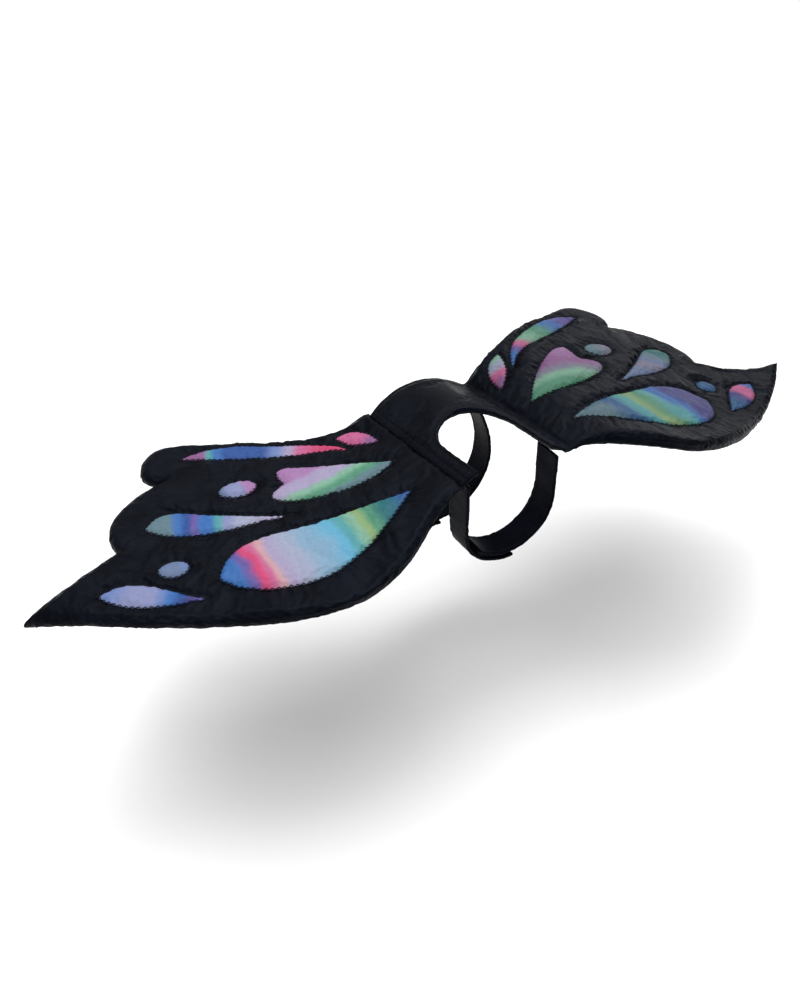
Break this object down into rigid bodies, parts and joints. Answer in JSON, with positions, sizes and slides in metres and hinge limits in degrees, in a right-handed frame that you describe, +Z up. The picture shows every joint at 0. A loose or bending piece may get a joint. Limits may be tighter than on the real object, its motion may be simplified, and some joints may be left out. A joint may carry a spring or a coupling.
{
  "type": "pet costume wings",
  "caption": "Quilted butterfly-shaped wings for a small pet, on a padded yoke with neck and belly straps; shimmering panels are set into a black quilted body.",
  "frame": {"origin": "under the yoke's lining in the middle of its width, 22 mm behind the cut-out for the neck, where the yoke rests on the wearer's back", "axes": "+X towards the wearer's left, -Y forward towards the head, +Z up"},
  "size_m": [0.74, 0.2582, 0.1476],
  "materials": {
    "black_satin": "satin quilted",
    "black_lining": "matte lining",
    "shimmer_fabric": "iridescent printed",
    "batting": "fluffy",
    "wire": "drawn",
    "wire_cap": "soft",
    "strap_fabric": "satin",
    "hook_tape": "hooked nylon",
    "loop_tape": "brushed nylon"
  },
  "bodies": {
    "yoke": {"yoke_cover": "black_satin", "yoke_lining": "black_lining", "yoke_batting": "batting"},
    "right_wing": {"right_wing_top_shell": "black_satin", "right_wing_under_shell": "black_lining", "right_wing_batting": "batting", "right_wing_wire": "wire", "right_wing_wire_caps": "wire_cap", "right_large_leaf_panel": "shimmer_fabric", "right_teardrop_panel": "shimmer_fabric", "right_heart_panel": "shimmer_fabric", "right_long_leaf_panel": "shimmer_fabric", "right_tip_teardrop_panel": "shimmer_fabric", "right_root_leaf_panel": "shimmer_fabric", "right_small_oval_panel": "shimmer_fabric", "right_tip_oval_panel": "shimmer_fabric"},
    "left_wing": {"left_wing_top_shell": "black_satin", "left_wing_under_shell": "black_lining", "left_wing_batting": "batting", "left_wing_wire": "wire", "left_wing_wire_caps": "wire_cap", "left_large_leaf_panel": "shimmer_fabric", "left_teardrop_panel": "shimmer_fabric", "left_heart_panel": "shimmer_fabric", "left_long_leaf_panel": "shimmer_fabric", "left_tip_teardrop_panel": "shimmer_fabric", "left_root_leaf_panel": "shimmer_fabric", "left_small_oval_panel": "shimmer_fabric", "left_tip_oval_panel": "shimmer_fabric"},
    "neck_strap_right_half": {"neck_strap_right": "strap_fabric", "neck_strap_hook_tape": "hook_tape"},
    "neck_strap_left_half": {"neck_strap_left": "strap_fabric", "neck_strap_loop_tape": "loop_tape"},
    "belly_strap_right_half": {"belly_strap_right": "strap_fabric", "belly_strap_hook_tape": "hook_tape"},
    "belly_strap_left_half": {"belly_strap_left": "strap_fabric", "belly_strap_loop_tape": "loop_tape"}
  },
  "joints": [
    {"name": "right_wing_flap", "type": "hinge", "parent": "yoke", "child": "right_wing", "pos_m": [-0.051, 0, -0.012], "axis": [0, 0.9929, -0.1191], "range_deg": [-15, 75], "stiffness_Nm_per_rad": 1.2, "springref_deg": 4.6},
    {"name": "left_wing_flap", "type": "hinge", "parent": "yoke", "child": "left_wing", "pos_m": [0.051, 0, -0.012], "axis": [0, -0.9929, 0.1191], "range_deg": [-15, 75], "stiffness_Nm_per_rad": 1.2, "springref_deg": 4.61},
    {"name": "neck_strap_right_opens", "type": "hinge", "parent": "yoke", "child": "neck_strap_right_half", "pos_m": [-0.0415, -0.091, -0.0024], "axis": [0, 1, 0], "range_deg": [0, 40]},
    {"name": "neck_strap_left_opens", "type": "hinge", "parent": "yoke", "child": "neck_strap_left_half", "pos_m": [0.0415, -0.091, -0.0024], "axis": [0, -1, 0], "range_deg": [0, 20]},
    {"name": "belly_strap_right_opens", "type": "hinge", "parent": "yoke", "child": "belly_strap_right_half", "pos_m": [-0.04, 0.022, -0.0154], "axis": [0, 1, 0], "range_deg": [0, 18]},
    {"name": "belly_strap_left_opens", "type": "hinge", "parent": "yoke", "child": "belly_strap_left_half", "pos_m": [0.04, 0.022, -0.0154], "axis": [0, -1, 0], "range_deg": [0, 9]}
  ],
  "couplings": [
    {"joint": "neck_strap_left_opens", "follows": "neck_strap_right_opens", "ratio": 0.5},
    {"joint": "belly_strap_left_opens", "follows": "belly_strap_right_opens", "ratio": 0.5}
  ]
}
